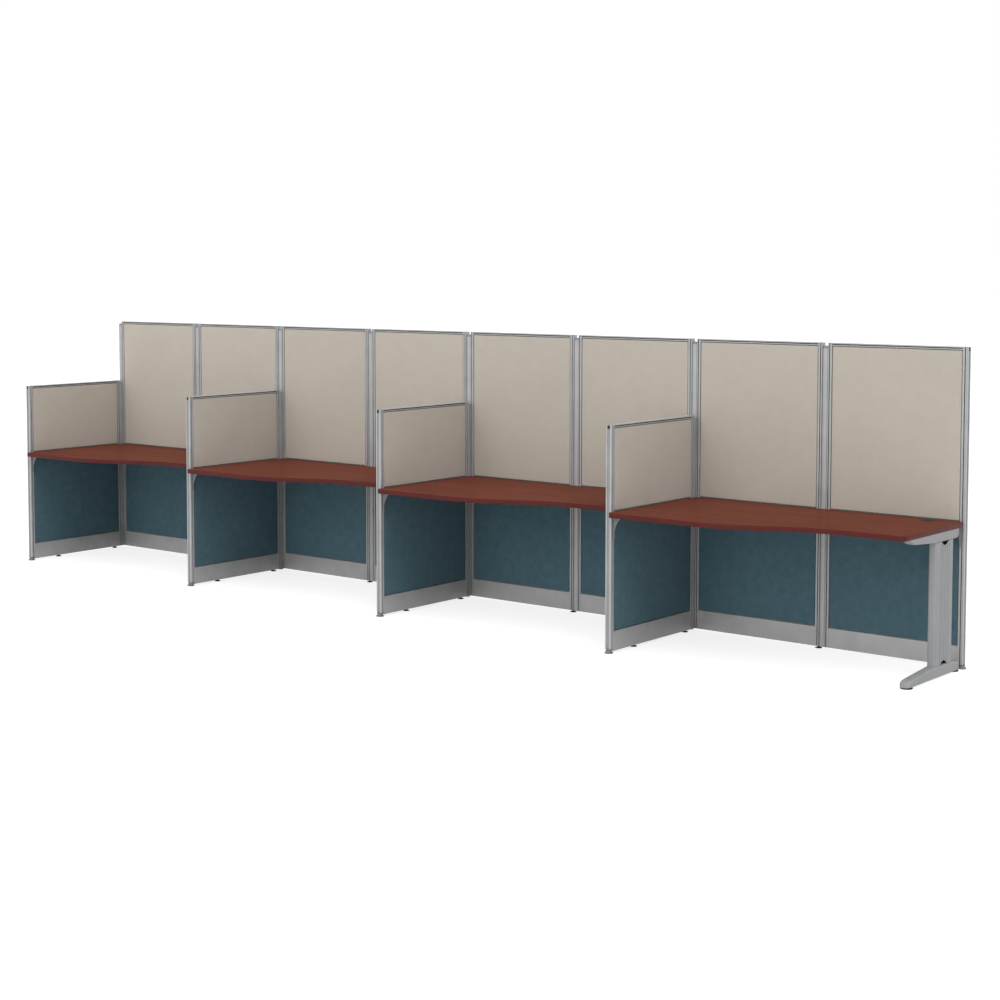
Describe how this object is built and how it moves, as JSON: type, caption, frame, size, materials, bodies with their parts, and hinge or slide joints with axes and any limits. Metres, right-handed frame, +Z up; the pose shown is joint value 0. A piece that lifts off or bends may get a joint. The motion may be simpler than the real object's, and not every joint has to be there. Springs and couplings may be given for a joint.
{
  "type": "cubicle workstation",
  "caption": "Row of open office workstations: tall fabric screens in line, low screens square to them, curved worksurfaces, a C-shaped end leg and levelling feet.",
  "frame": {"origin": "on the floor, under the middle of the whole row's box", "axes": "+X along the row towards the end with the leg, +Y from the open fronts towards the tall screens, +Z up"},
  "size_m": [6.39, 0.8806, 1.6],
  "materials": {
    "frame_metal": "satin silver paint on extrusions",
    "kick_paint": "satin silver paint on sheet",
    "leg_paint": "fine textured light grey paint",
    "bracket_paint": "grey paint on plate",
    "light_fabric": "warm beige woven panel cloth",
    "dark_fabric": "grey teal woven panel cloth",
    "worktop_laminate": "reddish cherry laminate, satin",
    "edge_band": "red brown edge band, satin",
    "black_plastic": "black moulded plastic",
    "grey_plastic": "silver grey moulded plastic",
    "shoe_plastic": "dark grey moulded plastic"
  },
  "bodies": {
    "row": {"back_frames_1": "frame_metal", "side_frame_1": "frame_metal", "upper_boards_1": "light_fabric", "lower_boards_1": "dark_fabric", "kick_plates_1": "kick_paint", "worksurface_1": "worktop_laminate", "back_frames_2": "frame_metal", "side_frame_2": "frame_metal", "upper_boards_2": "light_fabric", "lower_boards_2": "dark_fabric", "kick_plates_2": "kick_paint", "worksurface_2": "worktop_laminate", "back_frames_3": "frame_metal", "side_frame_3": "frame_metal", "upper_boards_3": "light_fabric", "lower_boards_3": "dark_fabric", "kick_plates_3": "kick_paint", "worksurface_3": "worktop_laminate", "back_frames_4": "frame_metal", "side_frame_4": "frame_metal", "upper_boards_4": "light_fabric", "lower_boards_4": "dark_fabric", "kick_plates_4": "kick_paint", "worksurface_4": "worktop_laminate", "connector_posts": "frame_metal", "connector_caps": "grey_plastic", "tee_posts": "frame_metal", "end_covers": "frame_metal", "end_caps": "black_plastic", "edge_bands": "edge_band", "grommet_liners": "black_plastic", "grommet_caps": "black_plastic", "surface_brackets": "bracket_paint", "leg_column": "leg_paint", "leg_column_cover": "leg_paint", "leg_arm": "leg_paint", "leg_foot": "leg_paint"},
    "wall_foot_1": {"wall_foot_1": "black_plastic"},
    "wall_foot_2": {"wall_foot_2": "black_plastic"},
    "wall_foot_3": {"wall_foot_3": "black_plastic"},
    "wall_foot_4": {"wall_foot_4": "black_plastic"},
    "wall_foot_5": {"wall_foot_5": "black_plastic"},
    "wall_foot_6": {"wall_foot_6": "black_plastic"},
    "wall_foot_7": {"wall_foot_7": "black_plastic"},
    "wall_end_foot": {"wall_end_foot": "shoe_plastic"},
    "side_front_foot_1": {"side_front_foot_1": "shoe_plastic"},
    "side_front_foot_2": {"side_front_foot_2": "shoe_plastic"},
    "side_front_foot_3": {"side_front_foot_3": "shoe_plastic"},
    "side_front_foot_4": {"side_front_foot_4": "shoe_plastic"},
    "side_mid_foot_1": {"side_mid_foot_1": "black_plastic"},
    "side_mid_foot_2": {"side_mid_foot_2": "black_plastic"},
    "side_mid_foot_3": {"side_mid_foot_3": "black_plastic"},
    "side_mid_foot_4": {"side_mid_foot_4": "black_plastic"},
    "side_rear_foot_1": {"side_rear_foot_1": "black_plastic"},
    "side_rear_foot_2": {"side_rear_foot_2": "black_plastic"},
    "side_rear_foot_3": {"side_rear_foot_3": "black_plastic"},
    "side_rear_foot_4": {"side_rear_foot_4": "black_plastic"},
    "leg_glide_front": {"leg_glide_front": "black_plastic"},
    "leg_glide_rear": {"leg_glide_rear": "black_plastic"}
  },
  "joints": [
    {"name": "wall_foot_1_turn", "type": "hinge", "parent": "row", "child": "wall_foot_1", "pos_m": [-2.401, 0.41825, 0], "axis": [0, 0, 1], "continuous": true},
    {"name": "wall_foot_2_turn", "type": "hinge", "parent": "row", "child": "wall_foot_2", "pos_m": [-1.605, 0.41825, 0], "axis": [0, 0, 1], "continuous": true},
    {"name": "wall_foot_3_turn", "type": "hinge", "parent": "row", "child": "wall_foot_3", "pos_m": [-0.809, 0.41825, 0], "axis": [0, 0, 1], "continuous": true},
    {"name": "wall_foot_4_turn", "type": "hinge", "parent": "row", "child": "wall_foot_4", "pos_m": [-0.013, 0.41825, 0], "axis": [0, 0, 1], "continuous": true},
    {"name": "wall_foot_5_turn", "type": "hinge", "parent": "row", "child": "wall_foot_5", "pos_m": [0.783, 0.41825, 0], "axis": [0, 0, 1], "continuous": true},
    {"name": "wall_foot_6_turn", "type": "hinge", "parent": "row", "child": "wall_foot_6", "pos_m": [1.579, 0.41825, 0], "axis": [0, 0, 1], "continuous": true},
    {"name": "wall_foot_7_turn", "type": "hinge", "parent": "row", "child": "wall_foot_7", "pos_m": [2.375, 0.41825, 0], "axis": [0, 0, 1], "continuous": true},
    {"name": "wall_end_foot_turn", "type": "hinge", "parent": "row", "child": "wall_end_foot", "pos_m": [3.173, 0.41825, 0], "axis": [0, 0, 1], "continuous": true},
    {"name": "side_front_foot_1_turn", "type": "hinge", "parent": "row", "child": "side_front_foot_1", "pos_m": [-3.173, -0.39075, 0], "axis": [0, 0, 1], "continuous": true},
    {"name": "side_front_foot_2_turn", "type": "hinge", "parent": "row", "child": "side_front_foot_2", "pos_m": [-1.581, -0.39075, 0], "axis": [0, 0, 1], "continuous": true},
    {"name": "side_front_foot_3_turn", "type": "hinge", "parent": "row", "child": "side_front_foot_3", "pos_m": [0.011, -0.39075, 0], "axis": [0, 0, 1], "continuous": true},
    {"name": "side_front_foot_4_turn", "type": "hinge", "parent": "row", "child": "side_front_foot_4", "pos_m": [1.603, -0.39075, 0], "axis": [0, 0, 1], "continuous": true},
    {"name": "side_mid_foot_1_turn", "type": "hinge", "parent": "row", "child": "side_mid_foot_1", "pos_m": [-3.173, -0.16475, 0], "axis": [0, 0, 1], "continuous": true},
    {"name": "side_mid_foot_2_turn", "type": "hinge", "parent": "row", "child": "side_mid_foot_2", "pos_m": [-1.581, -0.16475, 0], "axis": [0, 0, 1], "continuous": true},
    {"name": "side_mid_foot_3_turn", "type": "hinge", "parent": "row", "child": "side_mid_foot_3", "pos_m": [0.011, -0.16475, 0], "axis": [0, 0, 1], "continuous": true},
    {"name": "side_mid_foot_4_turn", "type": "hinge", "parent": "row", "child": "side_mid_foot_4", "pos_m": [1.603, -0.16475, 0], "axis": [0, 0, 1], "continuous": true},
    {"name": "side_rear_foot_1_turn", "type": "hinge", "parent": "row", "child": "side_rear_foot_1", "pos_m": [-3.173, 0.32825, 0], "axis": [0, 0, 1], "continuous": true},
    {"name": "side_rear_foot_2_turn", "type": "hinge", "parent": "row", "child": "side_rear_foot_2", "pos_m": [-1.581, 0.32825, 0], "axis": [0, 0, 1], "continuous": true},
    {"name": "side_rear_foot_3_turn", "type": "hinge", "parent": "row", "child": "side_rear_foot_3", "pos_m": [0.011, 0.32825, 0], "axis": [0, 0, 1], "continuous": true},
    {"name": "side_rear_foot_4_turn", "type": "hinge", "parent": "row", "child": "side_rear_foot_4", "pos_m": [1.603, 0.32825, 0], "axis": [0, 0, 1], "continuous": true},
    {"name": "leg_glide_front_turn", "type": "hinge", "parent": "row", "child": "leg_glide_front", "pos_m": [3.157, -0.15375, 0], "axis": [0, 0, 1], "continuous": true},
    {"name": "leg_glide_rear_turn", "type": "hinge", "parent": "row", "child": "leg_glide_rear", "pos_m": [3.157, 0.34425, 0], "axis": [0, 0, 1], "continuous": true}
  ]
}
